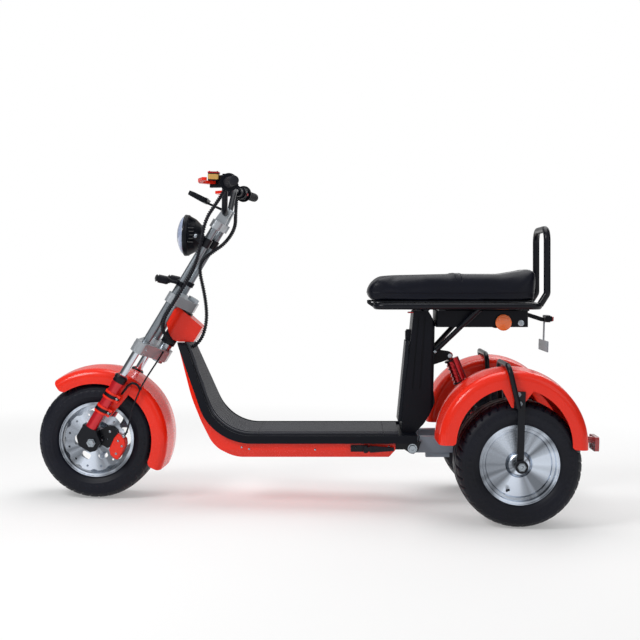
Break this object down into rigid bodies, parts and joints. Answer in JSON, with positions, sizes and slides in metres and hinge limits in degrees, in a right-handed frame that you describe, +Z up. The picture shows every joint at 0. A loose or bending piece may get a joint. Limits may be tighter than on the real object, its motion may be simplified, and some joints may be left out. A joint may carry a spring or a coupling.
{
  "type": "electric tricycle",
  "caption": "Step-through electric tricycle with fat tyres, a telescopic fork, a flat battery deck, a long seat with a backrest hoop and red mudguards.",
  "frame": {"origin": "on the ground below the middle of the vehicle's box", "axes": "+X to the rear, +Y to the rider's right, +Z up; the deck's nose dips 1.62 degrees"},
  "size_m": [1.9845, 0.8342, 1.1857],
  "materials": {
    "alloy": "cast and machined alloy",
    "black_paint": "satin black paint",
    "black_plastic": "moulded black plastic",
    "chrome": "bright chrome plate",
    "grey_paint": "silver grey paint",
    "leather": "black leatherette",
    "lens": "clear lens",
    "red_lens": "red reflector plastic",
    "red_paint": "glossy red paint",
    "rubber": "black rubber",
    "steel": "bright steel",
    "tyre": "black tyre"
  },
  "bodies": {
    "frame": {"axle_stays": "black_paint", "backrest": "black_paint", "battery": "black_plastic", "column_panel": "grey_paint", "deck_trim": "black_plastic", "deck_tub": "red_paint", "fender_hoops": "black_paint", "floor_mat": "rubber", "footpeg_brackets": "black_paint", "head_tube": "black_paint", "neck": "red_paint", "pivot_plates": "black_paint", "plate_holder": "grey_paint", "rear_axles": "steel", "rear_left_fender": "red_paint", "rear_right_fender": "red_paint", "rear_shock": "red_paint", "seat_column": "black_plastic", "seat_frame": "black_paint", "seat_struts": "black_paint", "shock_spring": "black_paint", "swing_arm": "grey_paint", "tail_lamp": "black_plastic", "tail_reflectors": "red_lens", "under_seat_box": "black_plastic"},
    "front_wheel": {"front_tyre": "tyre", "front_rim": "alloy", "front_disc": "steel"},
    "rear_wheel_left": {"rear_left_tyre": "tyre", "rear_left_hub": "alloy"},
    "rear_wheel_right": {"rear_right_tyre": "tyre", "rear_right_hub": "alloy"},
    "lid": {"deck_lid": "rubber"},
    "seat": {"seat_cushion": "leather", "seat_pan": "black_plastic"},
    "footpeg_left": {"footpeg_left": "rubber"},
    "footpeg_right": {"footpeg_right": "rubber"},
    "fork": {"lower_clamp": "alloy", "upper_bridge": "alloy", "steering_stem": "steel", "upper_tubes": "chrome", "stanchions": "chrome", "fork_legs": "red_paint", "fork_feet": "black_paint", "front_axle": "steel", "top_yoke": "alloy", "handlebar": "black_paint", "bar_clamps": "alloy", "bar_controls": "black_plastic", "cables": "rubber", "grips": "rubber", "headlight": "black_plastic", "headlight_lens": "lens", "lamp_bracket": "black_paint", "front_fender": "red_paint", "front_caliper": "red_paint", "display": "black_plastic", "indicators": "black_plastic", "brake_levers": "red_paint", "fender_bracket": "red_paint"}
  },
  "joints": [
    {"name": "steer", "type": "hinge", "parent": "frame", "child": "fork", "pos_m": [-0.507, 0, 0.6335], "axis": [0.4924, 0, 0.8704], "range_deg": [-35, 35]},
    {"name": "front_spin", "type": "hinge", "parent": "fork", "child": "front_wheel", "pos_m": [-0.7773, 0, 0.215], "axis": [0, 1, 0], "continuous": true},
    {"name": "rear_left_spin", "type": "hinge", "parent": "frame", "child": "rear_wheel_left", "pos_m": [0.7172, -0.283, 0.215], "axis": [0, 1, 0], "continuous": true},
    {"name": "rear_right_spin", "type": "hinge", "parent": "frame", "child": "rear_wheel_right", "pos_m": [0.7172, 0.283, 0.215], "axis": [0, 1, 0], "continuous": true},
    {"name": "lid_hinge", "type": "hinge", "parent": "frame", "child": "lid", "pos_m": [-0.18512, 0, 0.26687], "axis": [0, -1, 0], "range_deg": [0, 80]},
    {"name": "seat_hinge", "type": "hinge", "parent": "frame", "child": "seat", "pos_m": [0.20108, 0, 0.74298], "axis": [0, -1, 0], "range_deg": [0, 70]},
    {"name": "peg_left_fold", "type": "hinge", "parent": "frame", "child": "footpeg_left", "pos_m": [0.20181, -0.172, 0.22179], "axis": [0.0283, 0, -0.9996], "range_deg": [0, 90]},
    {"name": "peg_right_fold", "type": "hinge", "parent": "frame", "child": "footpeg_right", "pos_m": [0.20181, 0.172, 0.22179], "axis": [-0.0283, 0, 0.9996], "range_deg": [0, 90]}
  ]
}
